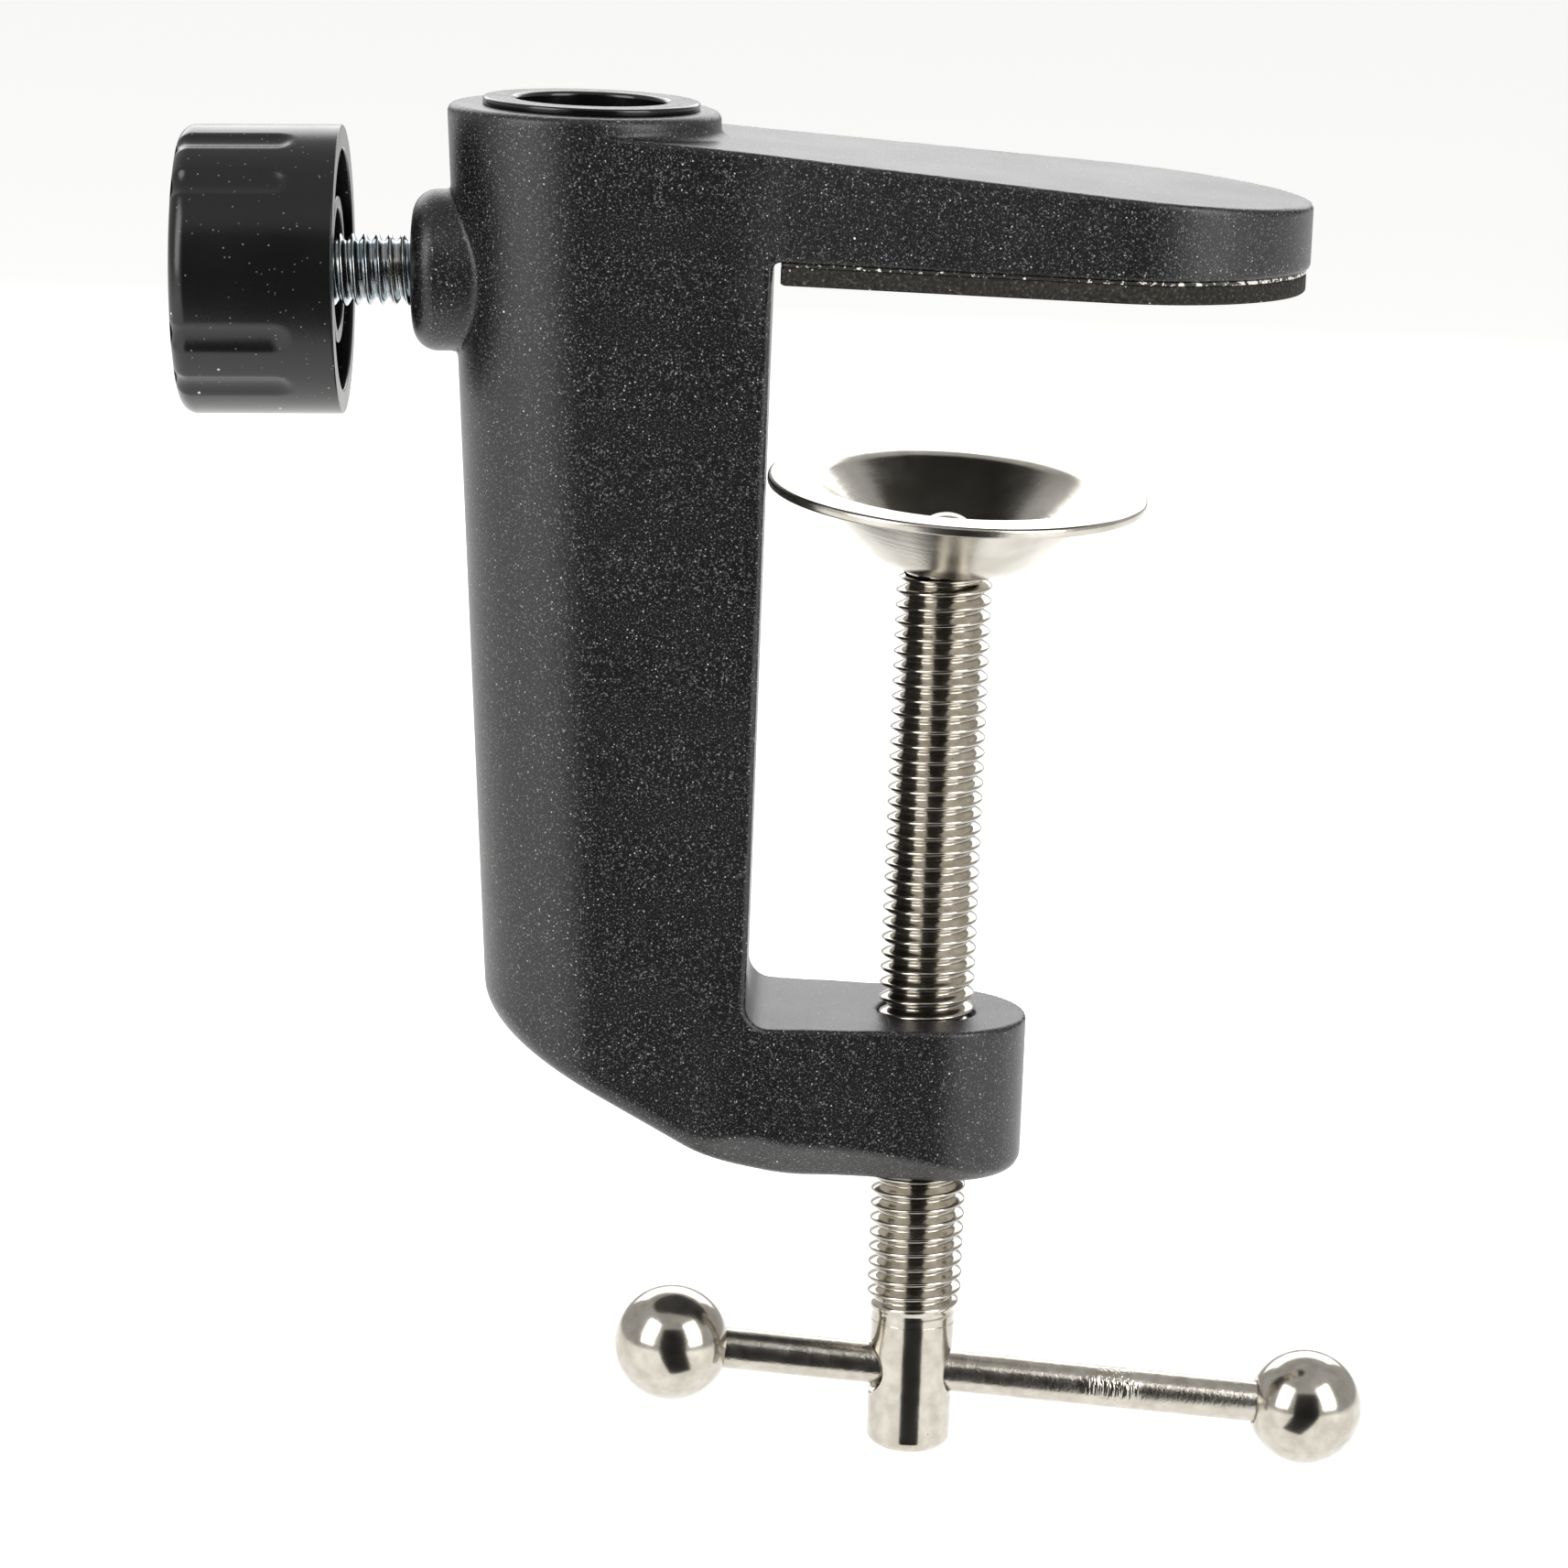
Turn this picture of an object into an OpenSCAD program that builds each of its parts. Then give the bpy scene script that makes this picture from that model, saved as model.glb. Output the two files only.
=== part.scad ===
// Table-edge clamp with a socket for the post of an airbrush holder.
// Origin: underside of the jaw pad, on the clamp screw's axis.
// +Z is up the screw, +X runs from the column to the jaw's tip, -Y is the front.

/* [Jaw] */
// Space between the pad and the lower arm
throat = 60.2; // [50:0.2:75]
// Screw axis to the column's inner face
reach = 14.7; // [13:0.1:20]
// Screw axis to the centre of the jaw's round tip
tip_centre = 13.5; // [8:0.5:20]
// Radius of the jaw's round tip
tip_r = 14.5; // [11:0.5:18]
// Thickness of the jaw where it leaves the column
jaw_root_t = 8.3; // [6:0.1:12]
// Fall of the jaw's top face towards the tip, in degrees
jaw_fall = 4.1; // [0:0.1:5]
// Thickness of the rubber pad
pad_t = 1.5; // [1:0.1:3]
// Thickness of the adhesive under the pad
glue_t = 0.3; // [0.1:0.1:0.6]
// Margin of the jaw left bare round the pad
pad_inset = 0.3; // [0:0.1:2]
// Gap between the pad and the column
pad_gap = 0.65; // [0.3:0.05:3]

/* [Column] */
// Width of the column at its top, along the jaw
column_w = 26.35; // [24:0.05:34]
// Half the depth of the column at its top
column_half_top = 10.9; // [10:0.1:14]
// Half the depth of the column at the lower arm
column_half_low = 9.4; // [8.5:0.1:12]
// Draft of the column's outer side, in degrees
column_draft = 3.94; // [0:0.02:4.5]
// Radius in the corner between the column and the lower arm
inner_fillet = 2; // [0.5:0.5:4]

/* [Lower arm] */
// Thickness of the arm round the clamp screw
arm_t = 13; // [10:0.5:18]
// Radius of the arm's round end
arm_end_r = 8.2; // [7:0.1:11]
// Bevel round the arm's lower edge
arm_bevel = 2.2; // [0.5:0.1:3]
// Slope of the frame's lower back edge, in degrees
heel_slope = 28.5; // [15:0.5:40]
// Where the sloping edge meets the flat underside, behind the screw
heel_start = 14.2; // [10:0.2:20]
// Radius of the frame's lower back corner
heel_r = 6; // [2:0.5:8]

/* [Socket] */
// Radius of the hole that takes the holder's post
socket_r = 6.05; // [5:0.05:6.5]
// Wall of the plastic sleeve
sleeve_wall = 0.95; // [0.6:0.05:1.4]
// Length of the sleeve below its flange
sleeve_l = 33; // [20:1:45]
// Width of the sleeve's flange beyond its wall
flange_lip = 1.65; // [0.8:0.05:2.2]
// Thickness of the sleeve's flange
flange_t = 0.6; // [0.4:0.1:1.5]
// Height of the collar's top face above the pad
collar_top = 12.4; // [12:0.1:20]
// Offset of the socket from the collar's middle, towards the jaw
socket_shift = 0.6; // [0:0.05:1.5]
// Overhang of the collar past the column's back
collar_proud = 0.05; // [0.05:0.01:0.3]

/* [Lock screw] */
// Depth of the lock screw below the flange's top face
lock_drop = 13.68; // [11:0.1:20]
// Dip of the lock screw towards its knob, in degrees
lock_dip = 2; // [0:0.5:4]
// Radius of the M6 lock screw over its thread
stud_r = 2.9; // [2:0.05:3]
// Gap between the lock screw's tip and the socket's wall
tip_back = 0.65; // [0.3:0.05:2]
// Radius of the boss that the lock screw runs in
boss_r = 6.45; // [5.5:0.05:8]
// Socket axis to the boss's face
boss_reach = 13.8; // [13:0.1:18]
// Rounding of the boss's rim
boss_round = 2; // [0.5:0.1:3]

/* [Lock knob] */
// Radius of the knob
knob_r = 11.5; // [9:0.1:15]
// Length of the knob
knob_l = 12.9; // [10:0.1:20]
// Gap between the knob and the boss
knob_gap = 5.6; // [4:0.1:10]
// Wall of the knob's cup
knob_wall = 1.9; // [1.2:0.1:3]
// Depth of the hollow in the knob's inner side
knob_hollow = 9; // [5:0.5:10]
// Rounding of the knob's outer edge
knob_round = 1.3; // [0.3:0.1:2]
// Wall of the tube round the lock screw's head
tube_wall = 0.95; // [0.6:0.05:1.5]
// Radius of the lock screw's head
head_r = 4.85; // [4:0.05:5]
// Length of the lock screw's head
head_l = 4; // [3:0.5:5]
// Thickness of the knob's end wall over the head
end_wall = 1.8; // [1:0.1:3]
// Depth of the grip flutes
flute_depth = 0.3; // [0.1:0.05:0.8]
// Width of a grip flute
flute_w = 2.3; // [1.5:0.1:3]
// Plain length left between the flutes and the knob's rim
flute_end = 3.6; // [2:0.1:6]

/* [Clamp screw] */
// Radius of the M8 clamp screw over its thread
screw_r = 3.9; // [3.5:0.05:4]
// Length of the threaded part
thread_l = 62.25; // [50:0.25:80]
// Height of the thread over the plain end
thread_rise = 0.44; // [0.3:0.02:0.6]
// Length of the plain end
shank_l = 11.1; // [9:0.1:16]
// Distance from the pad to the shoulder under the pressure plate
shoulder_drop = 24.05; // [22:0.05:30]
// Radius of the neck that the pressure plate turns on
neck_r = 2.3; // [2.2:0.1:2.6]
// Width of the neck's peened head beyond the plate's hole
peen_lip = 0.28; // [0.2:0.02:0.6]
// Height of the neck's peened head
peen_h = 3.6; // [2:0.1:4.5]

/* [Pressure plate] */
// Gap between the plate's rim and the column as the plate rests
plate_gap = 0.12; // [0.1:0.02:3]
// Thickness of the stamped sheet
plate_t = 0.8; // [0.6:0.05:1.5]
// Height from the plate's floor to the top of its rim
plate_h = 6.65; // [4:0.05:9]
// Radius at the foot of the plate's cone
plate_foot_r = 5.55; // [5:0.05:6.5]
// Angle of the plate's cone, in degrees
plate_angle = 43.9; // [40:0.1:60]
// Play between the plate and the neck, up and down
plate_play = 0.3; // [0.25:0.05:0.5]
// Shift of the loose plate towards the jaw's tip
plate_shift = 0.5; // [0:0.05:0.5]
// Play left between the plate's hole and the neck on the tighter side
plate_hole_play = 0.12; // [0.1:0.01:0.3]
// Lean of the loose plate towards the front, in degrees
plate_nod = 2.5; // [0:0.1:3]
// Lean of the loose plate towards the jaw's tip, in degrees
plate_roll = 2; // [0:0.1:3]

/* [Tommy bar] */
// Radius of the bar
bar_r = 1.7; // [1.5:0.05:2]
// Distance between the centres of the end balls
bar_span = 53.2; // [40:0.2:80]
// Distance from the hole to the bar's middle as it rests
bar_slide = 6.7; // [0:0.1:10]
// Slope of the bar in its loose hole, in degrees
bar_slope = 5.3; // [0:0.1:5.5]
// Turn of the bar from the jaw's line, in degrees
bar_turn = 5; // [0:1:90]
// Play of the bar in the cross hole
cross_hole_play = 0.4; // [0.35:0.05:0.6]
// Cross hole's centre to the end of the screw
cross_hole_up = 6.6; // [5:0.1:8]
// Radius of the end balls
ball_r = 4.75; // [4:0.05:6]
// Depth of the bar's seat in each ball
ball_seat = 4.2; // [3:0.1:5]

/* [Fits] */
// Radial clearance of each screw in its hole
screw_clear = 0.05; // [0.02:0.01:0.09]
// Radial clearance of the knob on the lock screw's head
knob_clear = 0.05; // [0.02:0.01:0.09]
// Clearance of the sleeve's side hole round the lock screw
side_hole_clear = 0.4; // [0.2:0.1:0.8]

/* [Hidden] */
$fn = 64;
ARC = 8;
far = 200;

jaw_z = pad_t + glue_t;
arm_z = -throat;
arm_bottom = arm_z - arm_t;
column_x = -reach;
collar_r = column_half_top;
collar_x = column_x - column_w + collar_r - collar_proud;
socket_x = collar_x + socket_shift;
socket_top = collar_top + flange_t;
sleeve_r = socket_r + sleeve_wall;
flange_r = sleeve_r + flange_lip;
socket_bottom = collar_top - sleeve_l;
lock_z = socket_top - lock_drop;
stud_tip = socket_r + tip_back;
tube_r = head_r + knob_clear + tube_wall;
knob_rim = boss_reach + knob_gap;
knob_end = knob_rim + knob_l;
knob_floor = knob_rim + knob_hollow;
head_end = knob_end - end_wall;
head_start = head_end - head_l;
flute_cut_r = (flute_w * flute_w / 4 + flute_depth * flute_depth) / (2 * flute_depth);
shank_r = screw_r - thread_rise;
shoulder_z = -shoulder_drop;
thread_end = shoulder_z - thread_l;
screw_end = thread_end - shank_l;
cross_hole_z = screw_end + cross_hole_up;
plate_z = shoulder_z + plate_play;
plate_hole_r = neck_r + plate_shift + plate_hole_play;
peen_r = plate_hole_r + peen_lip;
plate_r = (reach - plate_gap + plate_shift + (plate_h - plate_t) * sin(plate_roll)) / cos(plate_roll);
peen_z = plate_z + plate_t + plate_play;
cross_hole_r = bar_r + cross_hole_play;
bar_l = bar_span - 2 * (ball_r - ball_seat);

// Height of the jaw's top face at a distance x from the screw axis
function jaw_top(x) = jaw_z + jaw_root_t - (x - column_x) * tan(jaw_fall);

// Outer side of the column at height z
function column_out(z) = column_x - column_w + (collar_top - z) * tan(column_draft);

// Half the depth of the column at height z, straight down to the lower arm and below
function column_half(z) =
    column_half_top - (column_half_top - column_half_low) * (collar_top - z) / (collar_top - arm_z);

// Arc of radius r that rounds the corner b between a and c
function corner(a, b, c, r) =
    let (
        u = (a - b) / norm(a - b),
        v = (c - b) / norm(c - b),
        half = acos(u * v) / 2,
        m = b + (u + v) / norm(u + v) * r / sin(half),
        p = b + u * r / tan(half) - m,
        q = b + v * r / tan(half) - m,
        start = atan2(p.y, p.x),
        sweep = (atan2(q.y, q.x) - start + 540) % 360 - 180
    )
    [for (i = [0:ARC]) m + r * [cos(start + sweep * i / ARC), sin(start + sweep * i / ARC)]];

// Closed outline through points [x, y, radius], each corner rounded by its radius
function rounded(points) =
    let (n = len(points), xy = [for (p = points) [p.x, p.y]])
    [for (i = [0:n - 1]) each points[i][2] == 0
        ? [xy[i]]
        : corner(xy[(i + n - 1) % n], xy[i], xy[(i + 1) % n], points[i][2])];

// Places its children on the lock screw's axis: +Z points inwards from the socket's axis
module on_lock_axis() {
    translate([socket_x, 0, lock_z]) rotate([0, 90 - lock_dip, 0]) children();
}

// Places its children on the bar's axis: +Z runs to the jaw's tip side from the cross hole
module on_bar_axis() {
    translate([0, 0, cross_hole_z]) rotate([0, 0, bar_turn]) rotate([0, 90 + bar_slope, 0]) children();
}

// Plan of the jaw from x0 to its round tip, drawn in by inset
module jaw_plan(x0, inset) {
    hull() {
        translate([x0, -column_half_top + inset]) square([0.1, 2 * (column_half_top - inset)]);
        translate([tip_centre, 0]) circle(r = tip_r - inset, $fn = 96);
    }
}

// Plan of the lower arm, drawn in by inset
module arm_plan(inset) {
    hull() {
        translate([column_x - 0.1, -column_half_low + inset])
            square([0.1, 2 * (column_half_low - inset)]);
        circle(r = arm_end_r - inset, $fn = 48);
    }
}

// Section of the column at height z: half round outside, square inside
module column_slice(z) {
    half = column_half(z);
    translate([0, 0, z]) linear_extrude(0.01) {
        translate([column_out(z) + half, 0]) circle(r = half, $fn = 32);
        translate([column_out(z) + half, -half])
            square([column_x - column_out(z) - half, 2 * half]);
    }
}

// Side view of the frame, with x along the jaw and y up
module side_outline() {
    heel_x = column_out(arm_z) - 0.01;
    heel_z = arm_bottom - (heel_x + heel_start) * tan(heel_slope);
    top_x = column_out(collar_top);
    polygon(rounded([
        [top_x, jaw_top(top_x), 0],
        [tip_centre + tip_r, jaw_top(tip_centre + tip_r), 0],
        [tip_centre + tip_r, jaw_z, 0],
        [column_x, jaw_z, 0],
        [column_x, arm_z, inner_fillet],
        [arm_end_r, arm_z, 0],
        [arm_end_r, arm_bottom, 0],
        [-heel_start, arm_bottom, 3 * heel_r],
        [heel_x, heel_z, heel_r]
    ]));
}

module lock_boss() {
    on_lock_axis() rotate_extrude() polygon(rounded([
        [0, -boss_reach, 0],
        [boss_r, -boss_reach, boss_round],
        [boss_r, -sleeve_r, 0],
        [0, -sleeve_r, 0]
    ]));
}

module frame_blank() {
    intersection() {
        rotate([90, 0, 0]) linear_extrude(2 * far, center = true) side_outline();
        union() {
            hull() {
                column_slice(collar_top);
                column_slice(arm_bottom - 1);
            }
            linear_extrude(far) jaw_plan(column_x - 2, 0);
            translate([0, 0, arm_bottom]) hull() {
                translate([0, 0, arm_bevel]) linear_extrude(arm_t - arm_bevel + 1) arm_plan(0);
                linear_extrude(0.01) arm_plan(arm_bevel);
            }
        }
    }
}

module clamp_frame() {
    sunk = 0.6;
    collar_z = jaw_top(collar_x + collar_r) - sunk;
    color("#2b2b2d") difference() {
        union() {
            frame_blank();
            translate([collar_x, 0, collar_z]) cylinder(
                h = collar_top - collar_z,
                r1 = collar_r - (collar_top - collar_z) * tan(column_draft),
                r2 = collar_r
            );
            lock_boss();
        }
        translate([socket_x, 0, socket_bottom]) cylinder(h = far, r = sleeve_r);
        on_lock_axis() translate([0, 0, -boss_reach - 1])
            cylinder(h = boss_reach + 1, r = stud_r + screw_clear);
        translate([0, 0, arm_bottom - 1]) cylinder(h = arm_t + 2, r = screw_r + screw_clear);
    }
}

module socket_sleeve() {
    color("#151515") difference() {
        translate([socket_x, 0, 0]) union() {
            translate([0, 0, socket_bottom]) cylinder(h = sleeve_l, r = sleeve_r);
            translate([0, 0, collar_top]) cylinder(h = flange_t, r = flange_r);
        }
        translate([socket_x, 0, socket_bottom - 1]) cylinder(h = sleeve_l + 3, r = socket_r);
        on_lock_axis() translate([0, 0, -sleeve_r - 2])
            cylinder(h = sleeve_r, r = stud_r + side_hole_clear);
    }
}

module pad_layer(z, thickness) {
    translate([0, 0, z]) linear_extrude(thickness) intersection() {
        jaw_plan(column_x - 2, pad_inset);
        translate([column_x + pad_gap, -far / 2]) square([far, far]);
    }
}

module pad_adhesive() {
    color("#d8d4c4") pad_layer(pad_t, glue_t);
}

module jaw_pad() {
    color("#26241f") pad_layer(0, pad_t);
}

module lock_screw() {
    chamfer = 0.6;
    color("#b9c0c8") on_lock_axis() rotate_extrude() polygon([
        [0, -stud_tip],
        [stud_r - chamfer, -stud_tip],
        [stud_r, -stud_tip - chamfer],
        [stud_r, -head_start],
        [head_r, -head_start],
        [head_r, -head_end + knob_clear],
        [0, -head_end + knob_clear]
    ]);
}

// Four pairs of flutes, each pair's middle a quarter turn from the next
module knob_flutes() {
    pair_turn = 34;
    half_gap = 12.5;
    for (quarter = [0:3], side = [-1, 1]) rotate([0, 0, pair_turn + 90 * quarter + side * half_gap])
        translate([-knob_r - flute_cut_r + flute_depth, 0, -knob_rim - flute_end - flute_w / 2]) {
            sphere(r = flute_cut_r);
            translate([0, 0, -knob_l]) cylinder(h = knob_l, r = flute_cut_r);
        }
}

module lock_knob() {
    tube_recess = 0.4;
    tube_rim = knob_rim + tube_recess;
    color("#232325") on_lock_axis() difference() {
        rotate_extrude() polygon(concat(
            [[0, -knob_end]],
            corner([0, -knob_end], [knob_r, -knob_end], [knob_r, -knob_rim], knob_round),
            [
                [knob_r, -knob_rim],
                [knob_r - knob_wall, -knob_rim],
                [knob_r - knob_wall, -knob_floor],
                [tube_r, -knob_floor],
                [tube_r, -tube_rim],
                [head_r + knob_clear, -tube_rim],
                [head_r + knob_clear, -head_end],
                [0, -head_end]
            ]
        ));
        knob_flutes();
    }
}

module pressure_plate() {
    rise = plate_h - plate_t;
    shift = plate_t * tan(plate_angle / 2);
    rim_x = plate_foot_r + rise / tan(plate_angle);
    bend = 0.8;
    foot_bend = 4.5;
    foot = [plate_foot_r, 0];
    under = concat(
        [[plate_hole_r, 0]],
        corner([0, 0], foot, [rim_x, rise], foot_bend + plate_t),
        corner(foot, [rim_x, rise], [plate_r, rise], bend),
        [[plate_r, rise]]
    );
    above = concat(
        [[plate_r, plate_h]],
        corner([plate_r, plate_h], [rim_x - shift, plate_h], foot + [-shift, plate_t], bend + plate_t),
        corner([rim_x - shift, plate_h], foot + [-shift, plate_t], [0, plate_t], foot_bend),
        [[plate_hole_r, plate_t]]
    );
    color("#c9c5bb") translate([plate_shift, 0, plate_z]) rotate([plate_nod, plate_roll, 0])
        rotate_extrude($fn = 96) polygon(concat(under, above));
}

module clamp_screw() {
    chamfer = 0.7;
    dome = [for (i = [0:ARC]) [peen_r * cos(90 * i / ARC), peen_z + peen_h * sin(90 * i / ARC)]];
    color("#c4c0b6") difference() {
        rotate_extrude() polygon(concat(
            [
                [0, screw_end],
                [shank_r - chamfer, screw_end],
                [shank_r, screw_end + chamfer],
                [shank_r, thread_end],
                [screw_r, thread_end],
                [screw_r, shoulder_z],
                [neck_r, shoulder_z],
                [neck_r, peen_z]
            ],
            dome
        ));
        translate([0, 0, cross_hole_z]) rotate([0, 0, bar_turn]) rotate([0, 90, 0])
            cylinder(h = 4 * shank_r, r = cross_hole_r, center = true);
    }
}

module tommy_bar() {
    color("#c4c0b6") on_bar_axis() translate([0, 0, bar_slide])
        cylinder(h = bar_l, r = bar_r, center = true);
}

// End ball: side is -1 for the column's side and 1 for the tip's side
module end_ball(side) {
    color("#c4c0b6") on_bar_axis() translate([0, 0, bar_slide]) difference() {
        translate([0, 0, side * bar_span / 2]) sphere(r = ball_r, $fn = 96);
        cylinder(h = bar_l, r = bar_r, center = true);
    }
}

module left_ball() {
    end_ball(-1);
}

module right_ball() {
    end_ball(1);
}

clamp_frame();
socket_sleeve();
pad_adhesive();
jaw_pad();
lock_screw();
lock_knob();
pressure_plate();
clamp_screw();
tommy_bar();
left_ball();
right_ball();
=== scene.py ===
import math

import bpy
import numpy as np
from mathutils import Matrix, Vector


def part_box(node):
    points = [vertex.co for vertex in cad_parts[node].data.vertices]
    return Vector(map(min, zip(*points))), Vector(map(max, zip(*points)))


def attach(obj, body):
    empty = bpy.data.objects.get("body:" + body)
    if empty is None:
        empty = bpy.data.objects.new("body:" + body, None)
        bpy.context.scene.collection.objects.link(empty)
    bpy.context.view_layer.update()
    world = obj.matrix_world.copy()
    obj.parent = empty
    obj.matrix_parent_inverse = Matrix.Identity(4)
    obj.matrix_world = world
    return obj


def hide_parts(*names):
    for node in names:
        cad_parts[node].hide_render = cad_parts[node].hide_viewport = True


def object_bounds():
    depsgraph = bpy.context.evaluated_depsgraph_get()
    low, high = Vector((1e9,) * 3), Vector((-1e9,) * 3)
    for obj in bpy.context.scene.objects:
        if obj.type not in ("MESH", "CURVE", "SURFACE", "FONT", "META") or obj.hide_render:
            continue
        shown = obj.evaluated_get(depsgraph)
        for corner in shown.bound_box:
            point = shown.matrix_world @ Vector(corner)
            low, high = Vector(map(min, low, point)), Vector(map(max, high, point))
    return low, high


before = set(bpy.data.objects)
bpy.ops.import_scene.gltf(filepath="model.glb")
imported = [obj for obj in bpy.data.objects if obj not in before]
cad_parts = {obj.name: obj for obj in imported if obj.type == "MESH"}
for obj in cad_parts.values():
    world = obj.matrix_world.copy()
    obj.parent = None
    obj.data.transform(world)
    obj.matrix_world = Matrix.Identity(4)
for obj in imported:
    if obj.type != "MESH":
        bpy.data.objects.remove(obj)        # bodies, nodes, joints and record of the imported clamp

cadBox = [list(corner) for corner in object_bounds()]
mm = 0.001  # shapes are worked out in millimetres and put into their meshes in metres
print("frame loaded")


def boxOf(node):
    # lowest and highest corner of a CAD node, in millimetres
    return [np.array(corner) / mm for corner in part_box(node)]


def gridFaces(rows, columns, ringRows=False, ringColumns=False):
    # quads between the neighbours of a grid of points that is numbered row by row
    row = np.arange(rows if ringRows else rows - 1)[:, None]
    column = np.arange(columns if ringColumns else columns - 1)[None, :]
    below, above = row * columns, (row + 1) % rows * columns
    right = (column + 1) % columns
    return np.stack([below + column, below + right, above + right, above + column], -1).reshape(-1, 4)


def softLine(corners, closed=False, arcStep=0.12, lineStep=2.0, hold=0.06):
    # line through corners (x, y, radius), where each corner is an arc that touches both its sides;
    # straight stretches get a point close to each end, which keeps their shading flat
    places = np.array([corner[:2] for corner in corners], float)
    parts = []
    for i, (*_, radius) in enumerate(corners):
        here = places[i]
        if radius == 0 or (not closed and i in (0, len(corners) - 1)):
            parts.append(here[None])
            continue
        back, on = places[i - 1] - here, places[(i + 1) % len(places)] - here
        back, on = back / np.hypot(*back), on / np.hypot(*on)
        half = math.acos(np.clip(back @ on, -1, 1)) / 2
        middle = here + (back + on) / np.hypot(*(back + on)) * radius / math.sin(half)
        first, last = (here + side * radius / math.tan(half) - middle for side in (back, on))
        start = math.atan2(first[1], first[0])
        sweep = (math.atan2(last[1], last[0]) - start + math.pi) % (2 * math.pi) - math.pi
        turn = start + sweep * np.linspace(0, 1, max(4, math.ceil(abs(sweep) * radius / arcStep)) + 1)
        parts.append(middle + radius * np.stack([np.cos(turn), np.sin(turn)], 1))
    line = np.concatenate(parts + ([parts[0][:1]] if closed else []))
    run = np.hypot(*np.diff(line, axis=0).T)
    along = np.concatenate([[0], np.cumsum(run)])
    straight = run > 4 * hold
    stops = [along, along[:-1][straight] + hold, along[1:][straight] - hold,
             np.arange(0, along[-1], lineStep)]
    stops = np.unique(np.concatenate(stops))
    stops = stops[np.append(True, np.diff(stops) > hold / 3)]
    if closed:
        stops = stops[stops < along[-1] - hold / 3]
    return np.stack([np.interp(stops, along, line[:, k]) for k in (0, 1)], 1)


axisGap = 0.2  # radius at which an open profile starts, before its point on the axis


def turned(profile, turns, closed=False, shape=None):
    # profile (radius, height) carried round the axis: point = (r cos t, r sin t, h);
    # shape(r, h, t) may change the radius, and an open profile ends in a point on the axis
    radius, height = profile[:, :1], profile[:, 1:]
    angle = np.linspace(0, 2 * np.pi, turns, endpoint=False)[None, :]
    if shape:
        radius = shape(radius, height, angle)
    points = np.stack(np.broadcast_arrays(radius * np.cos(angle), radius * np.sin(angle), height), -1)
    points = points.reshape(-1, 3)
    faces = [gridFaces(len(profile), turns, closed, True)]
    if not closed:
        ring = np.arange(turns)
        on = (ring + 1) % turns
        low, high, top = len(points), len(points) + 1, (len(profile) - 1) * turns
        faces.append(np.stack([np.full(turns, low), on, ring], 1))
        faces.append(np.stack([np.full(turns, high), top + ring, top + on], 1))
        points = np.concatenate([points, [[0, 0, height[0, 0]], [0, 0, height[-1, 0]]]])
    return points, faces


def placed(points, origin, along, across):
    # moves points worked out round +Z so that their axis runs along a direction through origin
    along, across = along / np.linalg.norm(along), across / np.linalg.norm(across)
    return origin + points @ np.stack([across, np.cross(along, across), along])


def makeMesh(name, points, faces, normals=None):
    # one mesh from points in millimetres and a list of face arrays
    mesh = bpy.data.meshes.new(name)
    corners = np.concatenate([part.ravel() for part in faces])
    sides = np.concatenate([np.full(len(part), part.shape[1]) for part in faces])
    mesh.vertices.add(len(points))
    mesh.vertices.foreach_set("co", (points * mm).astype(np.float32).ravel())
    mesh.loops.add(len(corners))
    mesh.polygons.add(len(sides))
    mesh.polygons.foreach_set("loop_start", np.cumsum(sides) - sides)
    mesh.polygons.foreach_set("vertices", corners)
    mesh.update(calc_edges=True)
    mesh.validate()
    mesh.shade_smooth()
    if normals is not None:
        mesh.normals_split_custom_set_from_vertices(normals)
    return mesh


def makePiece(name, mesh, body, nodes, material):
    # an object at the origin that rides on its body and stands for its CAD nodes
    mesh.materials.append(material)
    piece = bpy.data.objects.new(name, mesh)
    bpy.context.scene.collection.objects.link(piece)
    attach(piece, body)
    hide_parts(*nodes)
    print(name, len(mesh.polygons), "faces")


def smoothStep(start, end, value):
    # 0 before start, 1 after end and an even S between them
    share = np.clip((value - start) / (end - start), 0, 1)
    return share * share * (3 - 2 * share)


def roundMax(a, b, radius):
    # both shapes at once, their edge turned into an arc of that radius
    both = np.minimum(np.maximum(a, b), -radius)
    return both + np.hypot(np.maximum(a + radius, 0), np.maximum(b + radius, 0))


def roundMin(a, b, radius):
    # either shape, with a fillet of that radius where they meet
    return -roundMax(-a, -b, radius)


def softMax(a, b, width):
    # both shapes at once, blended over a band of that width
    near = np.maximum(width - np.abs(a - b), 0) / width
    return np.maximum(a, b) + near * near * width / 4


def slopeOf(field, points, reach=0.04):
    # how the field grows along x, y and z at each point
    rises = [field(*(points + step).T) - field(*(points - step).T) for step in np.eye(3) * reach]
    return np.stack(rises, 1) / (2 * reach)


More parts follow.
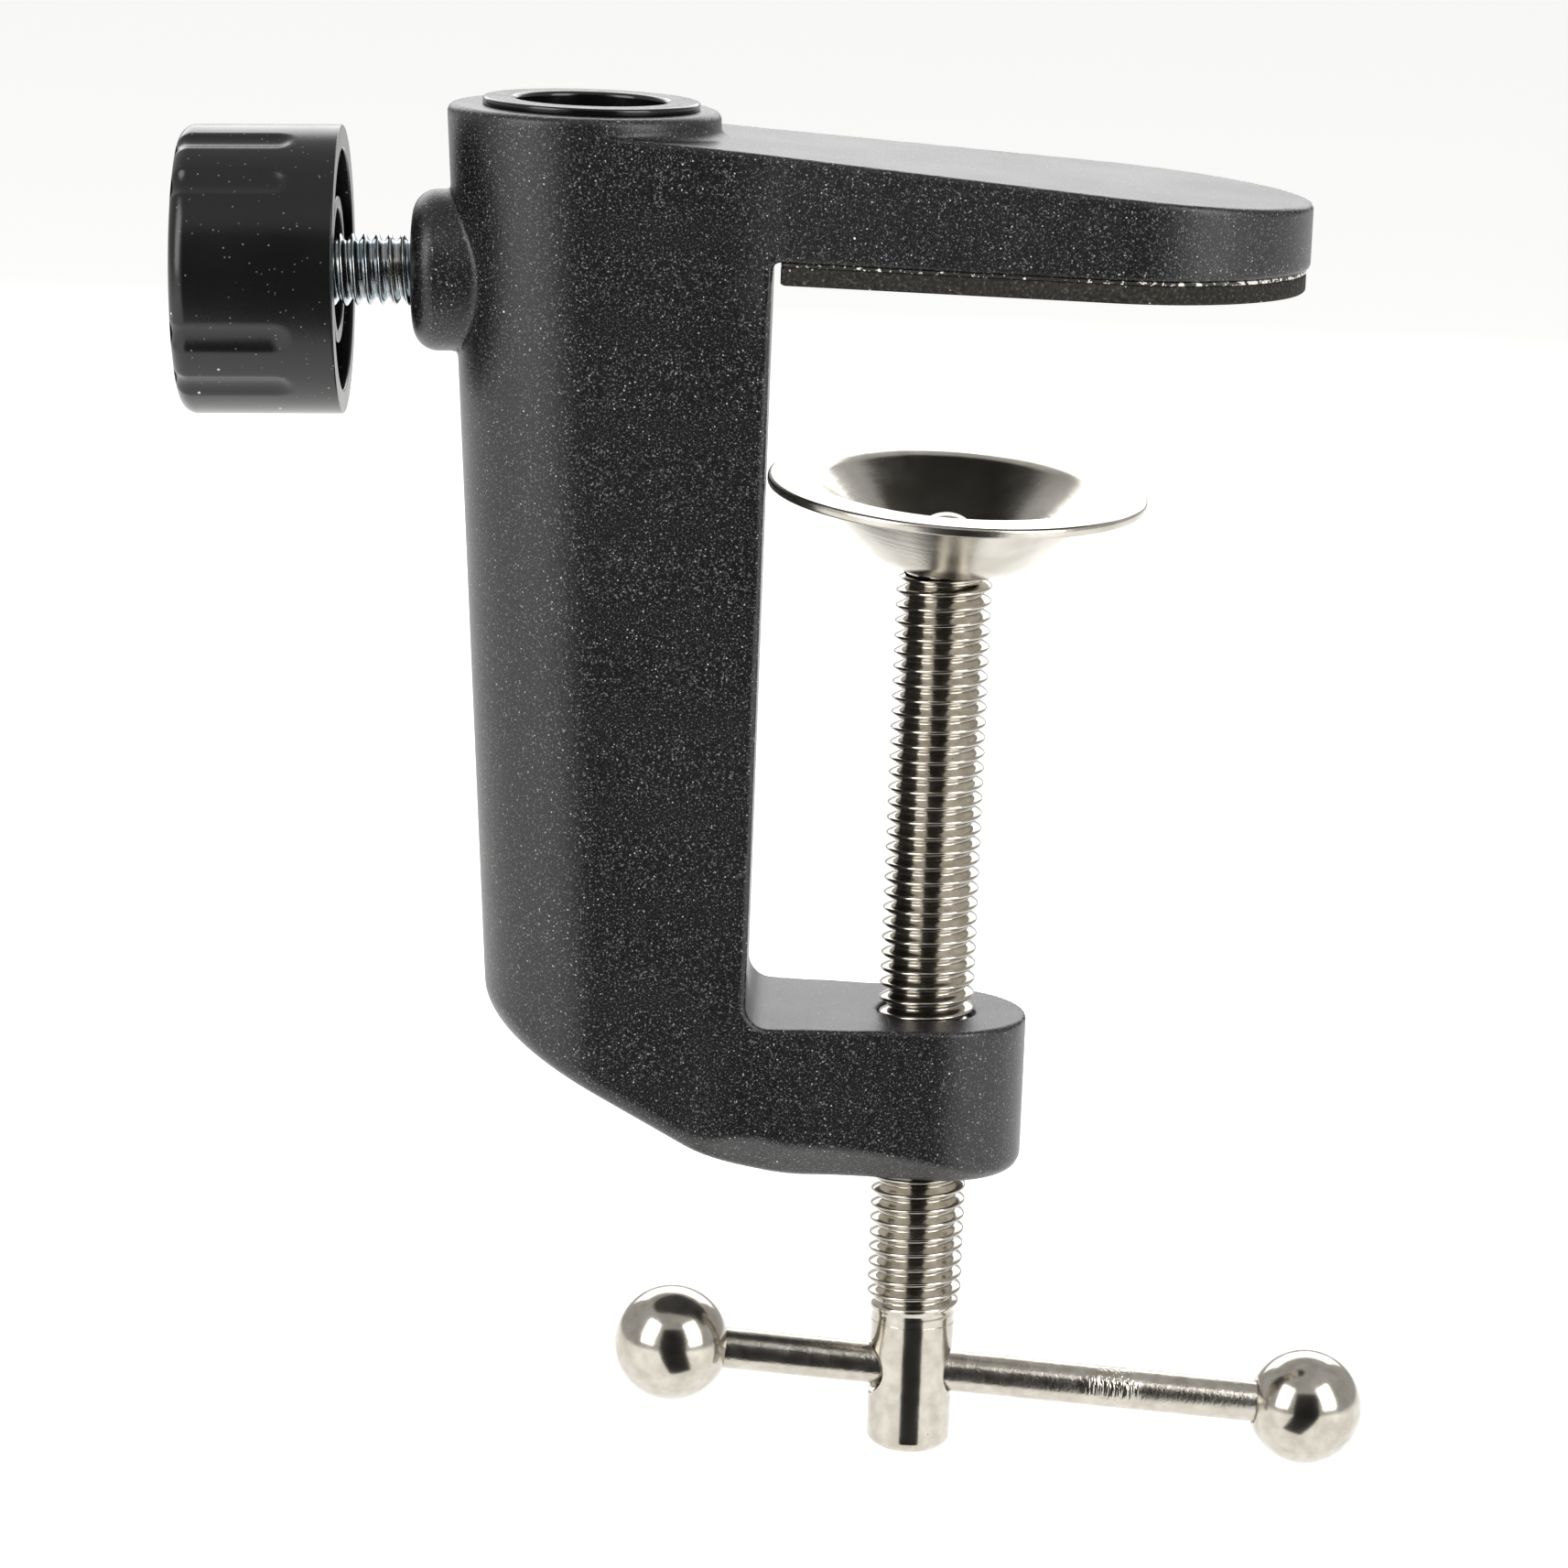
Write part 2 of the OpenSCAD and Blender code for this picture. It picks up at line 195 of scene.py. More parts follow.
def skinOf(field, low, high, cell):
    # surface where a field of distances is nought: each cell of a grid that it crosses gets one point, the
    # middle of the crossings on the cell's edges, which then slides along the field's slope onto the surface
    count = np.ceil((high - low) / cell).astype(int) + 1
    axes = [(low[k] + cell * np.arange(count[k])).astype(np.float32) for k in range(3)]
    value = field(axes[0][:, None, None], axes[1][None, :, None], axes[2][None, None, :])
    inside = value < 0
    step = np.eye(3, dtype=int)
    around = ((0, 0), (1, 0), (1, 1), (0, 1))  # the four cells that share an edge
    total = np.zeros((*(count - 1), 3), np.float32)
    hits = np.zeros(count - 1, np.float32)
    quads = []
    number = np.full(count - 1, -1)
    crossings = []
    for k in range(3):
        i, j = (k + 1) % 3, (k + 2) % 3
        ahead = [slice(None)] * 3
        behind = [slice(None)] * 3
        ahead[k], behind[k] = slice(1, None), slice(None, -1)
        places = np.argwhere(inside[tuple(ahead)] != inside[tuple(behind)])
        start, end = value[tuple(places.T)], value[tuple((places + step[k]).T)]
        share = start / (start - end)
        point = low + cell * (places + share[:, None] * step[k])
        crossings.append((places, start < 0))
        for a, b in around:
            cellAt = places - a * step[i] - b * step[j]
            np.add.at(total, tuple(cellAt.T), point)
            np.add.at(hits, tuple(cellAt.T), 1)
    number[hits > 0] = np.arange(np.count_nonzero(hits))
    points = (total[hits > 0] / hits[hits > 0][:, None]).astype(float)
    for k in range(3):
        i, j = (k + 1) % 3, (k + 2) % 3
        places, leaving = crossings[k]
        quad = np.stack([number[tuple((places - a * step[i] - b * step[j]).T)] for a, b in around], 1)
        quads.append(np.where(leaving[:, None], quad, quad[:, ::-1]))
    for _ in range(4):
        slope = slopeOf(field, points)
        move = slope * (field(*points.T) / np.maximum((slope ** 2).sum(1), 0.2))[:, None]
        points -= np.clip(move, -cell / 2, cell / 2)
    slope = slopeOf(field, points)
    return points, [np.concatenate(quads)], slope / np.linalg.norm(slope, axis=1)[:, None]


# what the frame gives: the axes and levels that every piece is built on
screwLow, screwHigh = boxOf("clamp_screw")
frameLow, frameHigh = boxOf("clamp_frame")
sleeveLow, sleeveHigh = boxOf("socket_sleeve")
padLow, padHigh = boxOf("jaw_pad")
glueLow, glueHigh = boxOf("pad_adhesive")
knobLow, knobHigh = boxOf("lock_knob")
ballBoxes = {side: boxOf(side + "_ball") for side in ("left", "right")}
socketX = (sleeveLow[0] + sleeveHigh[0]) / 2
lockDip = math.radians(2)  # the lock screw runs down towards its knob
lockOut = np.array([-math.cos(lockDip), 0, -math.sin(lockDip)])
lockUp = np.array([-math.sin(lockDip), 0, math.cos(lockDip)])
knobMiddle = (knobLow + knobHigh) / 2
lockOrigin = np.array([socketX, 0, knobMiddle[2] + (socketX - knobMiddle[0]) * math.tan(lockDip)])
ballCentre = {side: sum(ballBoxes[side]) / 2 for side in ballBoxes}
barAlong = ballCentre["right"] - ballCentre["left"]
barSpan = np.linalg.norm(barAlong)
barAlong = barAlong / barSpan
barAcross = np.cross([0, 1, 0], barAlong)

casting = dict(
    jawTop=10.1,  # height of the jaw's top face where it leaves the column
    jawFall=4.1,  # degrees
    jawUnder=1.8,
    columnFace=-14.7,  # the column's inner face
    columnWidth=26.35,
    halfTop=10.9,  # half the depth of the column at the top
    halfLow=9.4,  # and at the lower arm
    draft=3.94,  # degrees, on the column's outer side
    planBack=2,  # how far behind the inner face the jaw's straight sides start
    tipCentre=13.5,
    tipRadius=14.5,
    armTop=-60.2,
    armEnd=8.2,  # radius of the arm's round end
    heelSlope=28.5,  # degrees
    heelStart=-14.2,
    heelRound=1.6,  # rounding along the underside, less at the arm's end and more at the back
    heelTipLess=1.1,
    heelTipSpan=(-18, -12),
    heelBackMore=0.5,
    heelBackSpan=(-30, -37),
    floorBlend=2.4,  # width over which the heel runs into the flat underside
    planBlend=(-20, -13.5),  # where the round column turns into the plans of the jaw and the arm
    jawBlend=(-6, 1),  # heights between which the jaw's plan comes in
    armBlend=(-52, -59),
    bossRadius=6.45,
    bossReach=13.8,
    bossStart=4,
    bossRound=2.0,
    bossFillet=0.3,
    edge=0.45,  # radius of the casting's edges
    cornerTop=0.6,  # fillets in the throat's two corners
    cornerLow=2.0,
    rim=0.7,  # rounding of the collar's rim
    rimFillet=0.7,  # between the collar and the jaw's top
    rimFilletSpan=(-28, -23),
    bevelInner=3.3,  # bevel under the lower arm, next to the column and at its end
    bevelTip=0.8,
    bevelSpan=(10, -9),
    bevelStart=(-22, -13),
    bevelBlend=0.5,
    boreEdge=0.4,
    boreOver=5,  # how far the screw's bore runs past the arm's top
    socketBore=7.0,
    lockBore=2.95,
    screwBore=3.95,
    cell=0.4,  # grid on which the surface is found
)


def planOf(x, y, startX, startHalf, endX, endRadius):
    # distance from a plan whose straight sides run from (startX, startHalf) and touch a round end
    away, span = math.atan2(endX - startX, startHalf), math.hypot(endX - startX, startHalf)
    lean = away - math.acos(endRadius / span)
    side = np.abs(y)
    line = side * math.cos(lean) - (x - endX) * math.sin(lean) - endRadius
    ahead = (x - endX) * math.cos(lean) + side * math.sin(lean)
    return np.where(ahead < 0, line, np.hypot(x - endX, y) - endRadius)


def castField(x, y, z):
    # signed distance from the casting's surface, negative inside the metal
    c = casting
    top, bottom = frameHigh[2], frameLow[2]
    fall, draft, slope = (math.radians(c[key]) for key in ("jawFall", "draft", "heelSlope"))
    half = c["halfTop"] - (c["halfTop"] - c["halfLow"]) * (top - z) / (top - c["armTop"])
    outer = c["columnFace"] - c["columnWidth"] + (top - z) * math.tan(draft)
    middle = outer + half
    column = np.hypot(np.minimum(x - middle, 0), y) - half
    jaw = planOf(x, y, c["columnFace"] - c["planBack"], c["halfTop"], c["tipCentre"], c["tipRadius"])
    arm = planOf(x, y, c["columnFace"], c["halfLow"], 0, c["armEnd"])
    onJaw = smoothStep(*c["planBlend"], x) * smoothStep(*c["jawBlend"], z)
    onArm = smoothStep(*c["planBlend"], x) * smoothStep(*c["armBlend"], z)
    plan = column + onJaw * (jaw - column) + onArm * (arm - column)

    # side view: under the jaw's sloping top, above the heel and the flat underside, outside the throat
    roof = (z - c["jawTop"] + (x - c["columnFace"]) * math.tan(fall)) * math.cos(fall)
    heel = (bottom - (x - c["heelStart"]) * math.tan(slope) - z) * math.cos(slope)
    floor = softMax(heel, bottom - z, c["floorBlend"])
    throat = roundMax(c["columnFace"] - x, c["armTop"] - z, c["cornerLow"])
    throat = roundMax(throat, z - c["jawUnder"], c["cornerTop"])
    body = roundMax(roundMax(plan, roof, c["edge"]), -throat, c["edge"])
    heelRound = c["heelRound"] + c["heelBackMore"] * smoothStep(*c["heelBackSpan"], x)
    heelRound = heelRound - c["heelTipLess"] * smoothStep(*c["heelTipSpan"], x)
    body = roundMax(body, floor, heelRound)
    bevel = c["bevelTip"] + (c["bevelInner"] - c["bevelTip"]) * smoothStep(*c["bevelSpan"], x)
    bevel = bevel * smoothStep(*c["bevelStart"], x)
    body = softMax(body, (plan + floor + bevel) * math.sqrt(0.5), c["bevelBlend"])

    # the collar goes on up from the column's round back and stands proud of the jaw
    collar = roundMax(np.hypot(x - middle, y) - half, z - top, c["rim"])
    collar = np.maximum(collar, c["jawUnder"] - z)
    body = roundMin(body, collar, c["rimFillet"] * smoothStep(*c["rimFilletSpan"], x) + 1e-3)

    # the lock screw's boss
    out = (x - lockOrigin[0]) * lockOut[0] + (z - lockOrigin[2]) * lockOut[2]
    up = (x - lockOrigin[0]) * lockUp[0] + (z - lockOrigin[2]) * lockUp[2]
    fromLock = np.hypot(up, y)
    boss = roundMax(fromLock - c["bossRadius"], out - c["bossReach"], c["bossRound"])
    boss = np.maximum(boss, c["bossStart"] - out)
    body = roundMin(body, boss, c["bossFillet"])

    # the three bores
    socket = np.maximum(np.hypot(x - socketX, y) - c["socketBore"], sleeveLow[2] - z)
    lock = np.maximum(fromLock - c["lockBore"], -out)
    screw = np.maximum(np.hypot(x, y) - c["screwBore"], z - c["armTop"] - c["boreOver"])
    body = np.maximum(body, -socket)
    return roundMax(roundMax(body, -lock, c["boreEdge"]), -screw, c["boreEdge"])


def srgb(hexCode):
    # web colour to the linear values that the sockets take
    part = np.array([int(hexCode[i:i + 2], 16) for i in (1, 3, 5)]) / 255
    return (*np.where(part <= 0.04045, part / 12.92, ((part + 0.055) / 1.055) ** 2.4), 1.0)


def cellsOf(size):
    # texture scale that gives cells of that many millimetres
    return 1 / (size * mm)


def add(tree, kind, settings, links=None):
    # one node: its settings are properties or socket values, its links come from other nodes' outputs
    made = tree.nodes.new("ShaderNode" + kind)
    for key, value in settings.items():
        if isinstance(key, str) and hasattr(made, key):
            setattr(made, key, value)
        else:
            made.inputs[key].default_value = value
    for key, source in (links or {}).items():
        tree.links.new(source, made.inputs[key])
    return made


def newMaterial(name, settings):
    # a material with its shader already set
    material = bpy.data.materials.new(name)
    material.use_nodes = True
    tree = material.node_tree
    shader = tree.nodes["Principled BSDF"]
    for key, value in settings.items():
        shader.inputs[key].default_value = value
    return material, tree, shader


def ramp(tree, source, stops):
    # colour or grey by value: stops are (position, colour)
    made = add(tree, "ValToRGB", {}, {"Fac": source})
    points = made.color_ramp.elements
    for _ in stops[2:]:
        points.new(0.5)
    for point, (position, colour) in zip(points, stops):
        point.position, point.color = position, srgb(colour)
    return made.outputs["Color"]


def blend(tree, share, under, over):
    # colour socket: under where share is 0, over where it is 1; each may be a socket or a hex colour
    made = add(tree, "Mix", {"data_type": "RGBA"})
    tree.links.new(share, made.inputs[0])
    for slot, value in ((6, under), (7, over)):
        if isinstance(value, str):
            made.inputs[slot].default_value = srgb(value)
        else:
            tree.links.new(value, made.inputs[slot])
    return made.outputs[2]


def specks(tree, place, spacing, size, share):
    # mask of round grains: one in each cell of that spacing, kept for that share of the cells, soft towards
    # its edge and some darker than others
    cell = add(tree, "TexVoronoi", {"Scale": cellsOf(spacing)}, {"Vector": place})
    chance = add(tree, "SeparateColor", {}, {"Color": cell.outputs["Color"]})
    near = add(tree, "MapRange", {"From Min": size / spacing, "From Max": size / spacing * 0.6},
               {"Value": cell.outputs["Distance"]})
    kept = add(tree, "Math", {"operation": "LESS_THAN", 1: share}, {0: chance.outputs["Red"]})
    lit = add(tree, "Math", {"operation": "MULTIPLY"}, {0: kept.outputs[0], 1: near.outputs["Result"]})
    tone = add(tree, "MapRange", {"To Min": 0.35, "To Max": 1.0}, {"Value": chance.outputs["Green"]})
    made = add(tree, "Math", {"operation": "MULTIPLY"}, {0: lit.outputs[0], 1: tone.outputs["Result"]})
    return made.outputs[0]


def roughen(tree, shader, source, low, high):
    # roughness between two values by a pattern
    made = add(tree, "MapRange", {"To Min": low, "To Max": high}, {"Value": source})
    tree.links.new(made.outputs["Result"], shader.inputs["Roughness"])


def emboss(tree, shader, heights):
    # bumps laid on one another: heights are (socket, depth in millimetres, strength)
    normal = None
    for source, depth, strength in heights:
        made = add(tree, "Bump", {"Strength": strength, "Distance": depth * mm}, {"Height": source})
        if normal:
            tree.links.new(normal, made.inputs["Normal"])
        normal = made.outputs["Normal"]
    tree.links.new(normal, shader.inputs["Normal"])


def powderCoat():
    # black textured powder coat, baked on a die-cast alloy: a dense fine orange peel in its bump, with
    # painted highlights in the colour for the glints on its tops (lighter grain tops, pale salt-like specks
    # and a few larger pale ones), and a soft sheen at a glancing angle
    grainSize, peelSize, cloudSize = 0.16, 0.5, 11
    material, tree, shader = newMaterial("black textured powder coat", {"Specular IOR Level": 0.5})
    place = add(tree, "TexCoord", {}).outputs["Object"]
    grain = add(tree, "TexNoise", {"Scale": cellsOf(grainSize), "Detail": 1.5, "Roughness": 0.7},
                {"Vector": place})
    peel = add(tree, "TexNoise", {"Scale": cellsOf(peelSize), "Detail": 2.0}, {"Vector": place})
    cloud = add(tree, "TexNoise", {"Scale": cellsOf(cloudSize), "Detail": 3.0}, {"Vector": place})
    # painted highlight: the grain's colour runs from near black up to a light grey on the tops that its bump
    # raises
    tone = ramp(tree, grain.outputs["Fac"],
                [(0.36, "#030304"), (0.52, "#0d0d0e"), (0.6, "#252527"), (0.73, "#6a6a6c")])
    # painted glints: pale fine specks and a few larger pale ones laid into the base colour, standing for
    # light caught by the grain
    fine = specks(tree, place, 0.4, 0.075, 0.34)
    large = specks(tree, place, 1.7, 0.1, 0.13)
    glintPaintedTone = blend(tree, fine, tone, "#a8a8aa")
    tree.links.new(blend(tree, large, glintPaintedTone, "#e2e2e2"), shader.inputs["Base Color"])
    roughen(tree, shader, cloud.outputs["Fac"], 0.3, 0.42)
    emboss(tree, shader, [(peel.outputs["Fac"], 0.05, 0.35), (grain.outputs["Fac"], 0.04, 0.6)])
    return material


def glossyPlastic():
    # polypropylene moulded glossy and nearly black: a sharp reflection, slightly wavy, and a few dust grains
    material, tree, shader = newMaterial("glossy black moulded plastic", {"Specular IOR Level": 0.5})
    place = add(tree, "TexCoord", {}).outputs["Object"]
    wave = add(tree, "TexNoise", {"Scale": cellsOf(2.5), "Detail": 1.0}, {"Vector": place})
    smear = add(tree, "TexNoise", {"Scale": cellsOf(0.7), "Detail": 3.0}, {"Vector": place})
    dust = specks(tree, place, 1.1, 0.09, 0.14)
    tree.links.new(blend(tree, dust, "#0a0a0b", "#9a9a9a"), shader.inputs["Base Color"])
    roughen(tree, shader, smear.outputs["Fac"], 0.08, 0.26)
    emboss(tree, shader, [(wave.outputs["Fac"], 0.02, 0.3)])
    return material


def driedGlue():
    # clear adhesive squeezed out and dried between the jaw and its pad: dark where it is thin, with broken
    # whitish crumbs that grow denser towards the jaw's tip
    material, tree, shader = newMaterial("dried clear adhesive", {"Roughness": 0.5})
    place = add(tree, "TexCoord", {}).outputs["Object"]
    crumb = add(tree, "TexNoise", {"Scale": cellsOf(0.45), "Detail": 2.0, "Roughness": 0.7},
                {"Vector": place})
    along = add(tree, "SeparateXYZ", {}, {"Vector": place})
    more = add(tree, "MapRange", {"From Min": 8 * mm, "From Max": 24 * mm, "To Min": 0.0, "To Max": 0.13},
               {"Value": along.outputs["X"]})
    share = add(tree, "Math", {"operation": "ADD"}, {0: crumb.outputs["Fac"], 1: more.outputs["Result"]})
    mask = add(tree, "MapRange", {"From Min": 0.6, "From Max": 0.66}, {"Value": share.outputs[0]})
    tree.links.new(blend(tree, mask.outputs["Result"], "#1a1917", "#cfccc2"), shader.inputs["Base Color"])
    emboss(tree, shader, [(crumb.outputs["Fac"], 0.08, 0.7)])
    return material


def cellRubber():
    # black cellular rubber cut from sheet: matt, with open cells along the cut and a little pale dust
    material, tree, shader = newMaterial("black cellular rubber",
                                         {"Roughness": 0.85, "Specular IOR Level": 0.3})
    place = add(tree, "TexCoord", {}).outputs["Object"]
    cell = add(tree, "TexVoronoi", {"Scale": cellsOf(0.5)}, {"Vector": place})
    grain = add(tree, "TexNoise", {"Scale": cellsOf(0.25), "Detail": 2.0}, {"Vector": place})
    tone = ramp(tree, grain.outputs["Fac"], [(0.35, "#12110f"), (0.6, "#282520"), (0.75, "#4d4a42")])
    dust = specks(tree, place, 0.9, 0.1, 0.22)
    tree.links.new(blend(tree, dust, tone, "#bdbab0"), shader.inputs["Base Color"])
    emboss(tree, shader, [(cell.outputs["Distance"], 0.2, 0.6), (grain.outputs["Fac"], 0.05, 0.5)])
    return material


def zincPlate():
    # bright zinc plating, blue passivated: a cold mirror with a faint yellow and blue play and slight haze
    material, tree, shader = newMaterial("bright blue zinc plating", {"Metallic": 1.0})
    place = add(tree, "TexCoord", {}).outputs["Object"]
    play = add(tree, "TexNoise", {"Scale": cellsOf(2.2), "Detail": 2.0}, {"Vector": place})
    haze = add(tree, "TexNoise", {"Scale": cellsOf(0.35), "Detail": 3.0}, {"Vector": place})
    tone = ramp(tree, play.outputs["Fac"], [(0.35, "#a7b0b6"), (0.55, "#bbbfc1"), (0.7, "#c6c4bd")])
    tree.links.new(tone, shader.inputs["Base Color"])
    roughen(tree, shader, haze.outputs["Fac"], 0.1, 0.24)
    emboss(tree, shader, [(haze.outputs["Fac"], 0.01, 0.3)])
    return material


def satinPlastic():
    # ABS moulded satin black: an even soft sheen, a faint spark texture and grains of dust that cling to it
    material, tree, shader = newMaterial("satin black moulded plastic", {"Specular IOR Level": 0.45})
    place = add(tree, "TexCoord", {}).outputs["Object"]
    spark = add(tree, "TexNoise", {"Scale": cellsOf(0.22), "Detail": 1.0}, {"Vector": place})
    cloud = add(tree, "TexNoise", {"Scale": cellsOf(5), "Detail": 3.0}, {"Vector": place})
    fine = specks(tree, place, 0.5, 0.085, 0.4)
    large = specks(tree, place, 2.0, 0.13, 0.35)
    dusty = blend(tree, fine, "#0a0a0b", "#6c6c6c")
    tree.links.new(blend(tree, large, dusty, "#dedede"), shader.inputs["Base Color"])
    roughen(tree, shader, cloud.outputs["Fac"], 0.2, 0.3)
    emboss(tree, shader, [(spark.outputs["Fac"], 0.012, 0.4)])
    return material


def nickelPlate(name, scuffs, scuffPatch=None):
    # bright nickel over steel: a warm mirror with fine pits and a slight haze; scuffs, from 0 to 1, make it
    # granular as on the bar, and scuffPatch is where pliers left crossed scratches
    material, tree, shader = newMaterial(name, {"Metallic": 1.0})
    place = add(tree, "TexCoord", {}).outputs["Object"]
    haze = add(tree, "TexNoise", {"Scale": cellsOf(1.3), "Detail": 4.0}, {"Vector": place})
    grit = add(tree, "TexNoise", {"Scale": cellsOf(0.3), "Detail": 3.0, "Roughness": 0.7},
               {"Vector": place})
    tone = ramp(tree, haze.outputs["Fac"], [(0.35, "#aaa499"), (0.65, "#bdb8af")])
    pits = specks(tree, place, 1.3, 0.09, 0.3)
    tree.links.new(blend(tree, pits, tone, "#7d776c"), shader.inputs["Base Color"])
    roughen(tree, shader, haze.outputs["Fac"], 0.12, 0.2 + 0.08 * scuffs)
    heights = [(haze.outputs["Fac"], 0.04, 0.3), (pits, 0.02, 0.5),
               (grit.outputs["Fac"], 0.006 + 0.03 * scuffs, 0.25 + 0.5 * scuffs)]
    if scuffPatch is not None:
        away = add(tree, "VectorMath", {"operation": "DISTANCE", 1: tuple(scuffPatch * mm)}, {0: place})
        near = add(tree, "MapRange", {"From Min": 2.6 * mm, "From Max": 1.6 * mm},
                   {"Value": away.outputs["Value"]})
        slant = add(tree, "Mapping", {"Rotation": (0.0, math.radians(24), 0.0), "Scale": (1.0, 1.0, 0.12)},
                    {"Vector": place})
        cuts = add(tree, "TexNoise", {"Scale": cellsOf(0.22), "Detail": 1.0},
                   {"Vector": slant.outputs["Vector"]})
        cut = add(tree, "Math", {"operation": "MULTIPLY"},
                  {0: cuts.outputs["Fac"], 1: near.outputs["Result"]})
        heights.append((cut.outputs[0], 0.14, 0.7))
    emboss(tree, shader, heights)
    return material


def stampedNickel():
    # nickel on stamped sheet: a satin mirror, with faint rings round the middle and tiny grit marks
    material, tree, shader = newMaterial("satin nickel on stamped sheet", {"Metallic": 1.0})
    place = add(tree, "TexCoord", {}).outputs["Object"]
    flat = add(tree, "VectorMath", {"operation": "MULTIPLY", 1: (1.0, 1.0, 0.0)}, {0: place})
    out = add(tree, "VectorMath", {"operation": "LENGTH"}, {0: flat.outputs["Vector"]})
    ring = add(tree, "Math", {"operation": "MULTIPLY", 1: cellsOf(0.35)}, {0: out.outputs["Value"]})
    rings = add(tree, "TexNoise", {"noise_dimensions": "1D", "Scale": 1.0, "Detail": 2.0},
                {"W": ring.outputs[0]})
    grit = add(tree, "TexNoise", {"Scale": cellsOf(0.35), "Detail": 3.0}, {"Vector": place})
    haze = add(tree, "TexNoise", {"Scale": cellsOf(3), "Detail": 3.0}, {"Vector": place})
    tone = ramp(tree, haze.outputs["Fac"], [(0.35, "#b3aea4"), (0.65, "#c6c2ba")])
    marks = specks(tree, place, 0.9, 0.1, 0.25)
    tree.links.new(blend(tree, marks, tone, "#efece6"), shader.inputs["Base Color"])
    roughen(tree, shader, haze.outputs["Fac"], 0.16, 0.3)
    emboss(tree, shader, [(rings.outputs["Fac"], 0.02, 0.35), (grit.outputs["Fac"], 0.012, 0.4)])
    return material


# on the bar's front, 16.5 mm from the middle of the right ball
scuffPlace = ballCentre["right"] - barAlong * 16.5 + np.array([0, -1.7, 0.3])
coat = powderCoat()
gloss = glossyPlastic()
glue = driedGlue()
foam = cellRubber()
zinc = zincPlate()
satin = satinPlastic()
nickel = nickelPlate("bright nickel plating", 0.0)
barNickel = nickelPlate("handled nickel plating", 1.0, scuffPlace)
stamped = stampedNickel()
print("materials made")

margin = 3 * casting["cell"]
points, faces, normals = skinOf(castField, frameLow - margin, frameHigh + margin, casting["cell"])
body = makeMesh("clampBody", points, faces, normals)
makePiece("clampBody", body, "frame", ["clamp_frame"], coat)

sleeveShape = dict(
    wall=0.95,
    flange=0.6,  # thickness of the flange
    flangeEdge=0.22,
    underEdge=0.05,
    mouth=0.35,
    footEdge=0.2,
    sideHole=3.3,  # radius of the hole for the lock screw, and where its cutter starts and ends
    holeSpan=(4, 9),
    turns=144,
    holeTurns=48,
)


def cutBy(mesh, tool):
    # takes the tool's solid out of a mesh and returns what is left
    body, cutter = (bpy.data.objects.new(part.name, part) for part in (mesh, tool))
    for item in (body, cutter):
        bpy.context.scene.collection.objects.link(item)
    cut = body.modifiers.new("cut", "BOOLEAN")
    cut.object, cut.solver = cutter, "EXACT"
    left = bpy.data.meshes.new_from_object(body.evaluated_get(bpy.context.evaluated_depsgraph_get()))
    left.name = mesh.name
    for item in (body, cutter):
        bpy.data.objects.remove(item)
    return left


def makeSleeve():
    # ring profile: outer wall up to the flange, round its edge and down the bore
    s = sleeveShape
    outer = casting["socketBore"]
    bore, flange = outer - s["wall"], (sleeveHigh[0] - sleeveLow[0]) / 2
    under = sleeveHigh[2] - s["flange"]
    profile = softLine([
        (bore, sleeveLow[2], s["footEdge"]), (outer, sleeveLow[2], s["footEdge"]), (outer, under, 0),
        (flange, under, s["underEdge"]), (flange, sleeveHigh[2], s["flangeEdge"]),
        (bore, sleeveHigh[2], s["mouth"])], closed=True, arcStep=0.05)
    points, faces = turned(profile, s["turns"], closed=True)
    wall = makeMesh("socketSleeve", points + [socketX, 0, 0], faces)
    start, end = s["holeSpan"]
    cutter = softLine([(axisGap, start, 0), (s["sideHole"], start, 0), (s["sideHole"], end, 0),
                       (axisGap, end, 0)])
    points, faces = turned(cutter, s["holeTurns"])
    tool = makeMesh("sideHole", placed(points, lockOrigin, lockOut, lockUp), faces)
    return cutBy(wall, tool)


makePiece("socketSleeve", makeSleeve(), "frame", ["socket_sleeve"], gloss)

padShape = dict(
    inset=0.3,  # from the jaw's sides
    corner=0.5,
    cornerLess=0.4,  # how far the corners may shrink as the outline is drawn in
    padEdge=0.25,
    glueEdge=0.1,
    ledge=0.6,  # width of the flat ring inside each edge
    steps=260,
    tipSteps=91,
)


def padOutline(inset):
    # closed line round the pad: straight back, sides that touch the round tip, drawn in by inset
    c = casting
    total = inset + padShape["inset"]
    startX, radius, half = c["columnFace"] - c["planBack"], c["tipRadius"] - total, c["halfTop"] - total
    reach = c["tipCentre"] - startX
    lean = math.atan2(reach, half) - math.acos(radius / math.hypot(reach, half))
    backX = padLow[0] + inset
    touch = np.array([c["tipCentre"] - radius * math.sin(lean), radius * math.cos(lean)])
    backHalf = touch[1] - (touch[0] - backX) * math.tan(lean)
    turn = np.linspace(-math.pi / 2 - lean, math.pi / 2 + lean, padShape["tipSteps"])[1:-1]
    tip = np.stack([c["tipCentre"] + radius * np.cos(turn), radius * np.sin(turn)], 1)
    corner = padShape["corner"] - min(inset, padShape["cornerLess"])
    corners = softLine([(touch[0], touch[1], 0), (backX, backHalf, corner), (backX, -backHalf, corner),
                        (touch[0], -touch[1], 0)], lineStep=1.0)
    return np.concatenate([corners, tip])


